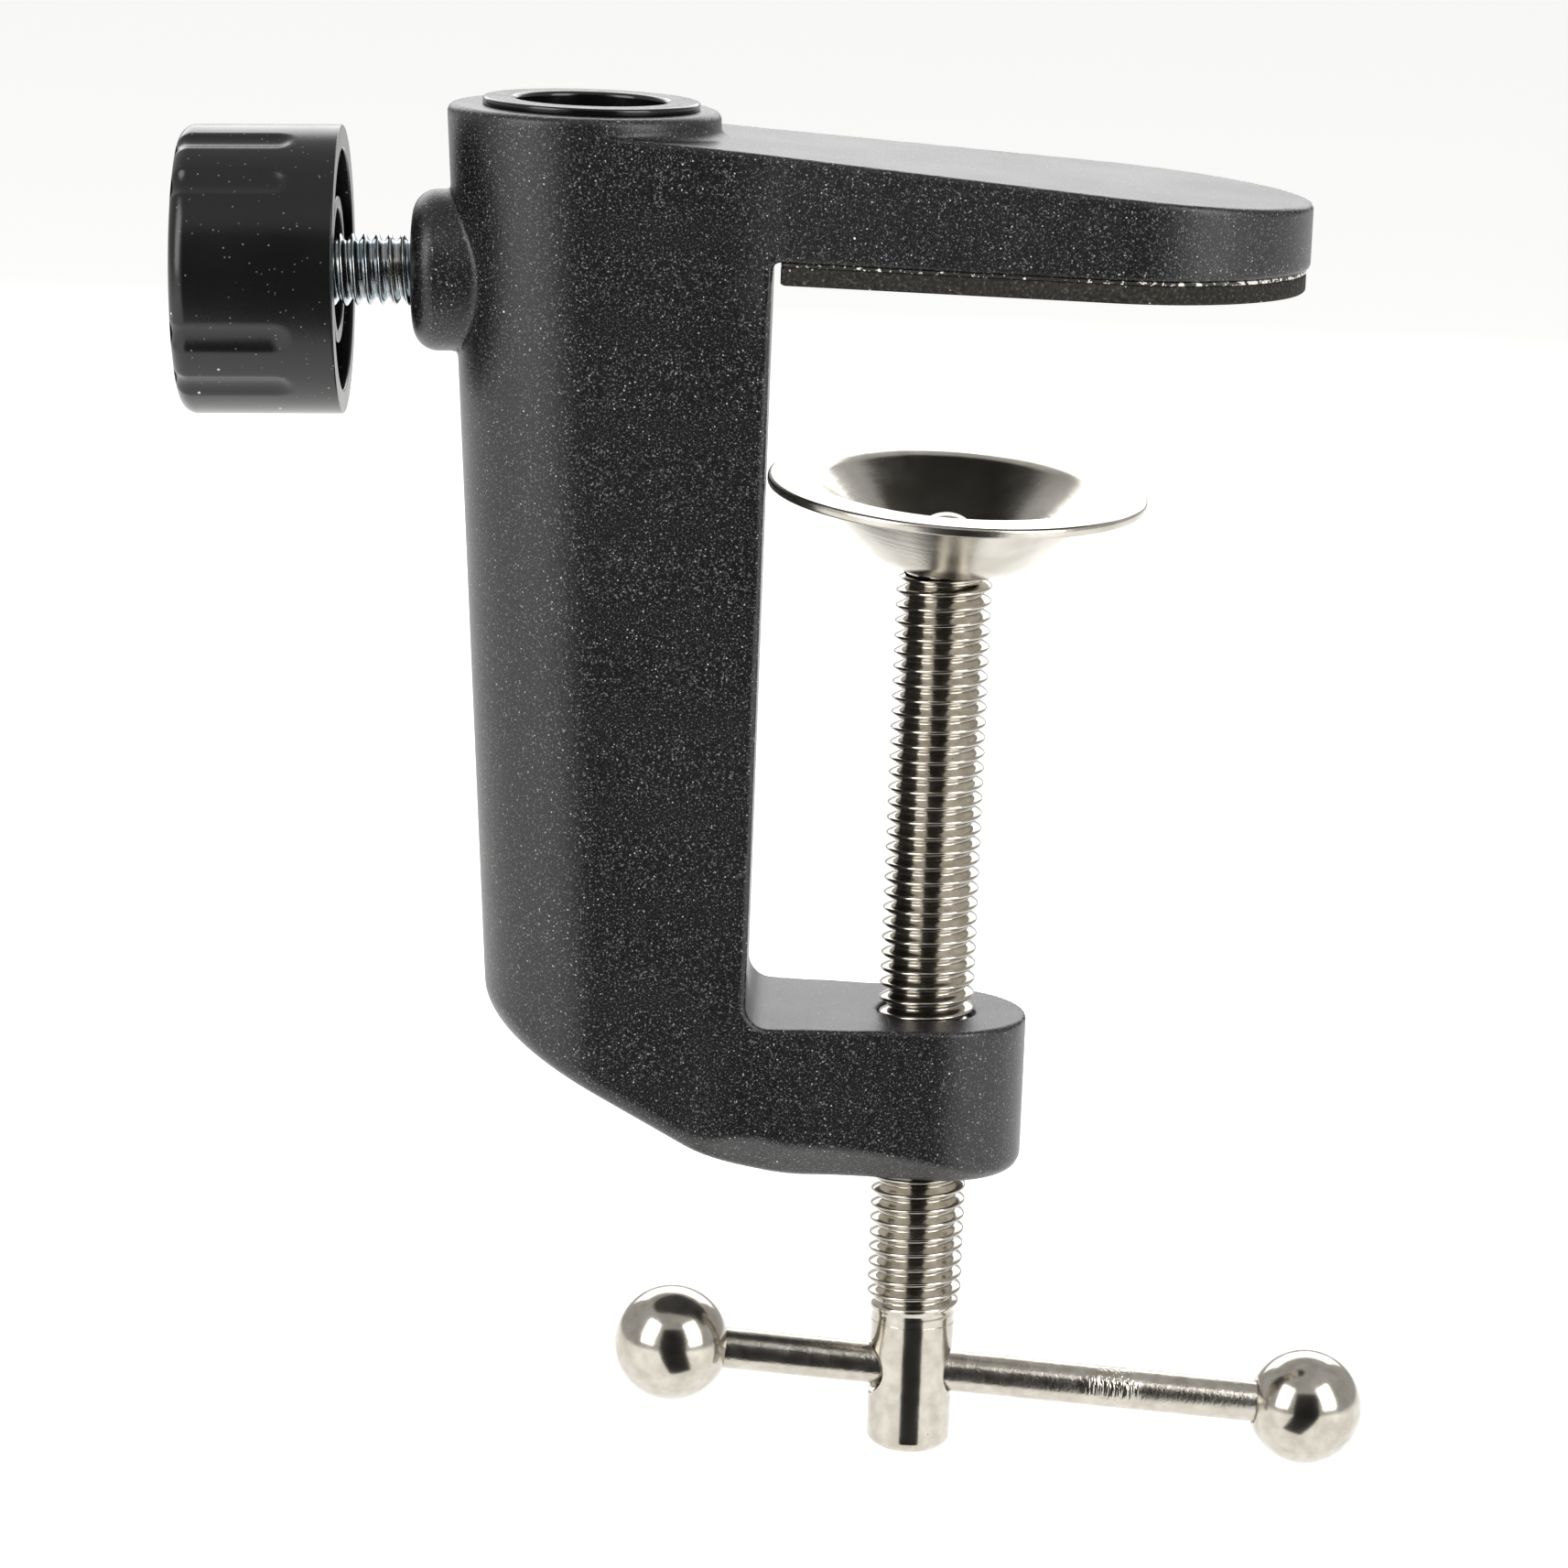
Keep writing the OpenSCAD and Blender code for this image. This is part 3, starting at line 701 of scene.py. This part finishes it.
def slab(name, rings, outline):
    # rings of one outline, each drawn in by an inset at a height, joined from the lowest to the highest
    count = padShape["steps"]
    points = []
    for inset, height in rings:
        loop = outline(inset)
        closed = np.concatenate([loop, loop[:1]])
        along = np.concatenate([[0], np.cumsum(np.linalg.norm(np.diff(closed, axis=0), axis=1))])
        at = np.linspace(0, along[-1], count, endpoint=False)
        even = [np.interp(at, along, closed[:, k]) for k in (0, 1)]
        points.append(np.stack([*even, np.full(count, height)], 1))
    order = np.arange(count)
    walls = gridFaces(len(rings), count, False, True)
    lid = (len(rings) - 1) * count + order
    return makeMesh(name, np.concatenate(points), [walls, order[::-1][None], lid[None]])


def edgeRings(low, high, radius, steps=5):
    # insets and heights that round the lower and upper edge of a slab
    turn = np.linspace(0, np.pi / 2, steps)
    rise = radius * (1 - np.cos(turn))
    draw = radius * (1 - np.sin(turn))
    rings = [(draw[0] + padShape["ledge"], low), *zip(draw, low + rise)]
    rings += [(d, high - r) for d, r in zip(draw[::-1], rise[::-1])]
    return rings + [(draw[0] + padShape["ledge"], high)]


def outlineTurned(inset):
    # the outline runs anticlockwise seen from above, so the slab's walls face outwards
    loop = padOutline(inset)
    area = np.sum(loop[:, 0] * np.roll(loop[:, 1], -1) - loop[:, 1] * np.roll(loop[:, 0], -1))
    return loop if area > 0 else loop[::-1]


pad = slab("jawPad", edgeRings(padLow[2], padHigh[2], padShape["padEdge"]), outlineTurned)
makePiece("jawPad", pad, "frame", ["jaw_pad"], foam)
bead = slab("padAdhesive", edgeRings(glueLow[2], glueHigh[2], padShape["glueEdge"]), outlineTurned)
makePiece("padAdhesive", bead, "frame", ["pad_adhesive"], glue)

knobShape = dict(
    length=12.9,
    wall=1.9,
    hollow=9.0,  # depth of the cup behind the rim
    tube=5.85,  # outer radius of the inner tube
    tubeBore=4.9,
    tubeBack=0.4,  # how far the tube ends behind the rim
    tubeRound=0.12,
    floorRound=0.4,
    headWall=1.8,
    outerRound=1.3,
    rimRound=0.15,
    fluteWidth=2.4,
    fluteDepth=0.32,
    fluteEnd=3.6,  # plain length between the flutes and the rim
    pairTurn=34,  # degrees from straight up to the middle of the first pair, towards the front
    pairHalf=12.5,
    turns=360,
)


def makeKnob():
    # cup profile carried round the lock screw; each flute lowers the outer wall by a round-ended groove:
    # depth = d (1 - (distance from the flute's middle line / half its width) squared), never below nought
    k = knobShape
    radius = (knobHigh[1] - knobLow[1]) / 2
    middle = np.linalg.norm(knobMiddle - lockOrigin)
    rim, end = middle - k["length"] / 2, middle + k["length"] / 2
    floor = rim + k["hollow"]
    start, tubeEnd, inner = 2 * axisGap, rim + k["tubeBack"], radius - k["wall"]
    profile = softLine([
        (start, end - k["headWall"], 0), (k["tubeBore"], end - k["headWall"], 0),
        (k["tubeBore"], tubeEnd, k["tubeRound"]), (k["tube"], tubeEnd, k["tubeRound"]),
        (k["tube"], floor, k["floorRound"]), (inner, floor, k["floorRound"]), (inner, rim, k["rimRound"]),
        (radius, rim, k["rimRound"]), (radius, end, k["outerRound"]), (start, end, 0)],
        arcStep=0.08, lineStep=0.35)

    def shape(r, h, t):
        grip = 0
        half = k["fluteWidth"] / 2
        for quarter in range(4):
            for side in (-1, 1):
                at = -math.radians(k["pairTurn"] + 90 * quarter + side * k["pairHalf"])
                across = radius * ((t - at + math.pi) % (2 * math.pi) - math.pi)
                beyond = np.maximum(rim + k["fluteEnd"] + half - h, 0)
                away = np.hypot(across, beyond) / half
                grip = grip + k["fluteDepth"] * np.clip(1 - away ** 2, 0, 1)
        return r - np.where(r > radius - k["wall"] / 2, grip, 0)

    points, faces = turned(profile, k["turns"], shape=shape)
    return makeMesh("lockKnob", placed(points, lockOrigin, lockOut, lockUp), faces)


makePiece("lockKnob", makeKnob(), "knob", ["lock_knob"], satin)


def tooth(phase, crestFlat, rootFlat):
    # height of a thread over one pitch, from 0 at the root to 1 at the crest, both softened
    away = np.abs(phase - np.round(phase)) * 2
    rise = np.clip((1 - rootFlat - away) / (1 - rootFlat - crestFlat), 0, 1)
    return 0.5 * rise + 0.5 * rise * rise * (3 - 2 * rise)


lockShape = dict(
    crest=2.88,
    root=2.3,
    pitch=1.0,
    start=0.35,  # share of a pitch by which the thread is turned
    flats=(0.12, 0.1),  # of the crest and the root, as shares of half a pitch
    head=4.85,
    headLength=4.0,
    headPlay=0.05,
    tip=6.7,  # from the socket's axis to the screw's end
    tipTaper=0.8,
    axisGap=0.3,
    row=0.06,
    turns=72,
)


def makeLockScrew():
    # the thread is a function of turn t and place h: phase = h / pitch - t / full turn
    s = lockShape
    middle = np.linalg.norm(knobMiddle - lockOrigin)
    headEnd = middle + knobShape["length"] / 2 - knobShape["headWall"] - s["headPlay"]
    headStart = headEnd - s["headLength"]
    profile = softLine([
        (s["axisGap"], s["tip"], 0), (s["root"] - 0.1, s["tip"], 0.2),
        (s["crest"], s["tip"] + s["tipTaper"], 0.1),
        (s["crest"], headStart, 0), (s["head"], headStart, 0.2), (s["head"], headEnd, 0.3),
        (s["axisGap"], headEnd, 0)], lineStep=s["row"])

    def shape(r, h, t):
        ridge = tooth(h / s["pitch"] + s["start"] - t / (2 * np.pi), *s["flats"])
        cut = (s["crest"] - s["root"]) * (1 - ridge)
        threaded = (h > s["tip"] + 0.05) * (h < headStart - 0.2)
        return np.where(threaded, np.minimum(r, s["crest"] - cut), r)

    points, faces = turned(profile, s["turns"], shape=shape)
    return makeMesh("lockScrew", placed(points, lockOrigin, lockOut, lockUp), faces)


makePiece("lockScrew", makeLockScrew(), "lock_stud", ["lock_screw"], zinc)

plateShape = dict(
    sheet=0.8,  # thickness
    radius=15.293,
    hole=2.8,
    foot=5.55,  # radius where the cone leaves the floor
    angle=43.9,  # of the cone, degrees
    rise=6.95,
    footBend=4.5,
    rimBend=0.8,
    edge=(0.22, 0.3),  # rounding of the rim's lower and upper edge
    holeEdge=0.1,
    nod=4.0,  # degrees by which the loose plate leans, to the front and to the right
    roll=1.9,
    shift=0.5,
    floorLevel=-23.6,
    turns=240,
)


def makePlate():
    # stamped dish: hole, floor, cone and flat rim as one closed section with bent corners
    p = plateShape
    cone = math.radians(p["angle"])
    rise = p["rise"] - p["sheet"]
    shift = p["sheet"] * math.tan(cone / 2)
    rimX = p["foot"] + rise / math.tan(cone)
    profile = softLine([
        (p["hole"], 0, p["holeEdge"]), (p["foot"], 0, p["footBend"] + p["sheet"]),
        (rimX, rise, p["rimBend"]), (p["radius"], rise, p["edge"][0]), (p["radius"], p["rise"], p["edge"][1]),
        (rimX - shift, p["rise"], p["rimBend"] + p["sheet"]), (p["foot"] - shift, p["sheet"], p["footBend"]),
        (p["hole"], p["sheet"], p["holeEdge"])], closed=True, lineStep=0.8)
    points, faces = turned(profile, p["turns"], closed=True)
    lean = Matrix.Rotation(math.radians(p["roll"]), 3, "Y") @ Matrix.Rotation(math.radians(p["nod"]), 3, "X")
    points = points @ np.array(lean).T + [p["shift"], 0, p["floorLevel"]]
    return makeMesh("pressurePlate", points, faces)


makePiece("pressurePlate", makePlate(), "plate", ["pressure_plate"], stamped)

screwShape = dict(
    crest=3.88,
    root=3.1,
    pitch=1.25,
    flats=(0.1, 0.08),
    firstCrest=-24.9,
    shoulder=-24.05,
    threadEnd=-86.3,
    shank=3.46,
    shankUnder=0.02,  # how much thinner the thread's core starts, inside the plain end
    overlap=0.2,  # how far below the thread's end the plain end stops, over the core
    topRound=0.05,
    footRound=0.1,
    neck=2.3,
    peen=3.2,
    peenFrom=-22.65,
    peenEdge=0.3,
    crossHole=2.1,
    holeMouth=0.35,
    holeUp=6.6,  # height of the cross hole over the screw's foot
    holeTurn=5,  # degrees from straight across
    endBevel=0.7,
    bevelBlend=0.25,
    axisGap=0.3,
    row=0.075,
    turns=96,
    cell=0.16,  # grid on which the plain end's surface is found
)


def makeScrew():
    # rolled thread: radius = shank + fade (root + height x tooth - shank), so it dies out into the plain end
    s = screwShape
    core, start = s["shank"] - s["shankUnder"], s["threadEnd"] - 0.4
    profile = softLine([
        (s["axisGap"], start, 0), (core, start, 0), (core, s["shoulder"], 0), (s["neck"], s["shoulder"], 0),
        (s["neck"], s["peenFrom"], 0), (s["peen"], s["peenFrom"], s["peenEdge"])], lineStep=s["row"])
    turn = np.radians(np.arange(3, 88, 4))  # up the dome, stopping short of the axis
    domeFrom = s["peenFrom"] + s["peenEdge"]
    dome = np.stack([s["peen"] * np.cos(turn), domeFrom + (screwHigh[2] - domeFrom) * np.sin(turn)], 1)
    profile = np.concatenate([profile, dome])

    def shape(r, h, t):
        ridge = tooth((h - s["firstCrest"]) / s["pitch"] - t / (2 * np.pi), *s["flats"])
        fade = smoothStep(s["threadEnd"], s["threadEnd"] + 2 * s["pitch"], h)
        ridge = ridge * smoothStep(s["shoulder"], s["shoulder"] - 0.5, h)
        thread = s["root"] + (s["crest"] - s["root"]) * ridge
        return np.where(np.abs(r - s["shank"]) < 0.1, r + fade * (thread - r), r)

    points, faces = turned(profile, s["turns"], shape=shape)
    low = screwLow[2]

    def shankField(x, y, z):
        # plain end: a cylinder with a bevelled foot and a cross hole whose mouth is broken round
        radial = np.hypot(x, y) - s["shank"]
        body = roundMax(radial, z - s["threadEnd"] + s["overlap"], s["topRound"])
        body = roundMax(body, low - z, s["footRound"])
        body = softMax(body, (radial + low - z + s["endBevel"]) * math.sqrt(0.5), s["bevelBlend"])
        lean = math.radians(s["holeTurn"])
        side = -x * math.sin(lean) + y * math.cos(lean)
        hole = np.hypot(side, z - low - s["holeUp"]) - s["crossHole"]
        return roundMax(body, -hole, s["holeMouth"])

    aside = s["shank"] + 0.4
    lowCorner = np.array([-aside, -aside, low - 0.4])
    highCorner = np.array([aside, aside, s["threadEnd"] + 0.4])
    plain, plainFaces, plainNormals = skinOf(shankField, lowCorner, highCorner, s["cell"])
    thread = makeMesh("clampScrew", points, faces)
    shank = makeMesh("shank", plain, plainFaces, plainNormals)
    return thread, shank


threadMesh, shankMesh = makeScrew()
makePiece("clampScrew", threadMesh, "screw", ["clamp_screw"], nickel)
makePiece("screwShank", shankMesh, "screw", ["clamp_screw"], nickel)

barShape = dict(
    radius=1.7,
    barEdge=0.2,
    ball=4.75,
    seat=4.2,  # how far the bar goes into each ball
    seatPlay=0.05,
    seatMouth=0.25,
    turns=64,
    ballTurns=128,
    ballSteps=96,
)


def makeBar():
    b = barShape
    half = barSpan / 2 - b["ball"] + b["seat"]
    profile = softLine([
        (axisGap, -half, 0), (b["radius"], -half, b["barEdge"]), (b["radius"], half, b["barEdge"]),
        (axisGap, half, 0)], lineStep=0.4)
    points, faces = turned(profile, b["turns"])
    middle = (ballCentre["left"] + ballCentre["right"]) / 2
    return makeMesh("tommyBar", placed(points, middle, barAlong, barAcross), faces)


def makeBall(side, sign):
    # sphere with its bored seat facing the bar: closed section of an arc and the seat's wall
    b = barShape
    bore = b["radius"] + b["seatPlay"]
    first = math.asin((bore + b["seatMouth"]) / b["ball"])
    turn = np.linspace(first, np.pi - 0.02, b["ballSteps"])
    arc = np.stack([b["ball"] * np.sin(turn), -b["ball"] * np.cos(turn)], 1)
    mouth = -math.sqrt(b["ball"] ** 2 - bore ** 2)
    bottom = b["seat"] - b["ball"]
    seat = softLine([(axisGap, bottom, 0), (bore, bottom, 0), (bore, mouth + b["seatMouth"], 0.1),
                     (arc[0, 0], arc[0, 1], 0)], lineStep=0.5)
    points, faces = turned(np.concatenate([seat, arc[1:]]), b["ballTurns"])
    return makeMesh(side + "Ball", placed(points, ballCentre[side], barAlong * sign, barAcross), faces)


makePiece("tommyBar", makeBar(), "bar", ["tommy_bar"], barNickel)
makePiece("leftBall", makeBall("left", -1), "bar", ["left_ball"], nickel)
makePiece("rightBall", makeBall("right", 1), "bar", ["right_ball"], nickel)
print("pieces made")

cameraView = dict(
    pitch=11.865,  # degrees down
    roll=2.176,
    yaw=-0.11,
    lens=134.5,
    distance=475.8,
    aim=(-0.071, 0.273, 0.911),  # from the middle of the object's box
)
boxMiddle = (Vector(cadBox[0]) + Vector(cadBox[1])) / 2


def lookFrom(yaw, pitch, roll, distance, aim):
    # camera placed back along its own line of sight, which runs down by pitch and is turned by roll
    yaw, pitch, roll = (math.radians(angle) for angle in (yaw, pitch, roll))
    ahead = Vector((math.sin(yaw) * math.cos(pitch), math.cos(yaw) * math.cos(pitch), -math.sin(pitch)))
    level = Vector((math.cos(yaw), -math.sin(yaw), 0))
    above = level.cross(ahead)
    right = level * math.cos(roll) + above * math.sin(roll)
    up = above * math.cos(roll) - level * math.sin(roll)
    turn = Matrix((right, up, -ahead)).transposed()
    return Matrix.Translation(aim - ahead * distance) @ turn.to_4x4()


camera = bpy.data.objects.new("camera", bpy.data.cameras.new("camera"))
bpy.context.scene.collection.objects.link(camera)
camera.data.lens = cameraView["lens"]
camera.data.sensor_width = 36
camera.data.clip_start, camera.data.clip_end = 0.01, 30
aim = boxMiddle + Vector(cameraView["aim"]) * mm
camera.matrix_world = lookFrom(cameraView["yaw"], cameraView["pitch"], cameraView["roll"],
                               cameraView["distance"] * mm, aim)
bpy.context.scene.camera = camera

studio = dict(
    floorDrop=38,  # under the object's lowest point at rest, clear of the screw at its lowest
    floorSize=8000,
    lampTurn=51,  # degrees to each side of the camera
    lampRise=26,
    lampReach=750,
    lampSize=(400, 620),
    lampPower=3.6,
    backRise=27,
    backReach=900,
    backSize=(1100, 500),
    backPower=4.3,
    paperGlow=0.38,  # keeps the paper white all the way back
    backdrop=1.0,  # brightness behind the paper as the camera sees it, and of the room that lights the object
    roomLight=0.6,
)


def lampAt(name, turn, rise, reach, size, power):
    # a soft box that faces the object's middle and isn't seen itself
    turn, rise = math.radians(turn), math.radians(rise)
    away = Vector((math.sin(turn) * math.cos(rise), -math.cos(turn) * math.cos(rise), math.sin(rise)))
    lamp = bpy.data.objects.new(name, bpy.data.lights.new(name, "AREA"))
    lamp.data.shape, lamp.data.size, lamp.data.size_y = "RECTANGLE", size[0] * mm, size[1] * mm
    lamp.data.energy = power
    bpy.context.scene.collection.objects.link(lamp)
    lamp.location = boxMiddle + away * reach * mm
    lamp.rotation_euler = away.to_track_quat("Z", "Y").to_euler()
    lamp.visible_camera = False


for name, side in (("leftSoftBox", -1), ("rightSoftBox", 1)):
    lampAt(name, side * studio["lampTurn"], studio["lampRise"], studio["lampReach"], studio["lampSize"],
           studio["lampPower"])
lampAt("backSoftBox", 180, studio["backRise"], studio["backReach"], studio["backSize"], studio["backPower"])

floorLevel = cadBox[0][2] / mm - studio["floorDrop"]
edge = studio["floorSize"] / 2
floorPoints = np.array([[-edge, -edge, floorLevel], [edge, -edge, floorLevel], [edge, edge, floorLevel],
                        [-edge, edge, floorLevel]])
floorMesh = makeMesh("floor", floorPoints, [np.array([[0, 1, 2, 3]])])
paper = newMaterial("white paper sweep", {
    "Base Color": srgb("#f4f4f2"), "Roughness": 0.9, "Emission Color": srgb("#ffffff"),
    "Emission Strength": studio["paperGlow"]})[0]
floorMesh.materials.append(paper)
floor = bpy.data.objects.new("floor", floorMesh)
bpy.context.scene.collection.objects.link(floor)

# a dark cloth in the gap between the soft boxes, from the floor in front of the clamp up past the camera;
# only the reflections see it
cloth = dict(
    left=24,  # degrees from straight ahead to each side
    right=28,
    near=45,
    far=560,
    top=430,
    overFloor=1,
)
clothLow = floorLevel + cloth["overFloor"]
clothRows = np.array([[cloth["near"], clothLow], [cloth["far"], clothLow], [cloth["far"], cloth["top"]]])
clothPoints = np.concatenate([
    np.stack([clothRows[:, 0] * math.tan(math.radians(turn)), -clothRows[:, 0], clothRows[:, 1]], 1)
    for turn in (-cloth["left"], cloth["right"])])
clothMesh = makeMesh("darkCloth", clothPoints, [np.array([[0, 3, 4, 1], [1, 4, 5, 2]])])
velvet = newMaterial("black studio cloth", {"Base Color": srgb("#0c0a0a"), "Roughness": 1.0})[0]
clothMesh.materials.append(velvet)
darkCloth = bpy.data.objects.new("darkCloth", clothMesh)
bpy.context.scene.collection.objects.link(darkCloth)
darkCloth.visible_camera = darkCloth.visible_diffuse = darkCloth.visible_shadow = False

world = bpy.data.worlds.new("studio")
world.use_nodes = True
background = world.node_tree.nodes["Background"]
background.inputs["Color"].default_value = srgb("#ffffff")
path = add(world.node_tree, "LightPath", {})
strength = add(world.node_tree, "MapRange", {"To Min": studio["roomLight"], "To Max": studio["backdrop"]},
               {"Value": path.outputs["Is Camera Ray"]})
world.node_tree.links.new(strength.outputs["Result"], background.inputs["Strength"])
bpy.context.scene.world = world
bpy.context.scene.view_settings.view_transform = "Standard"
print("studio ready")
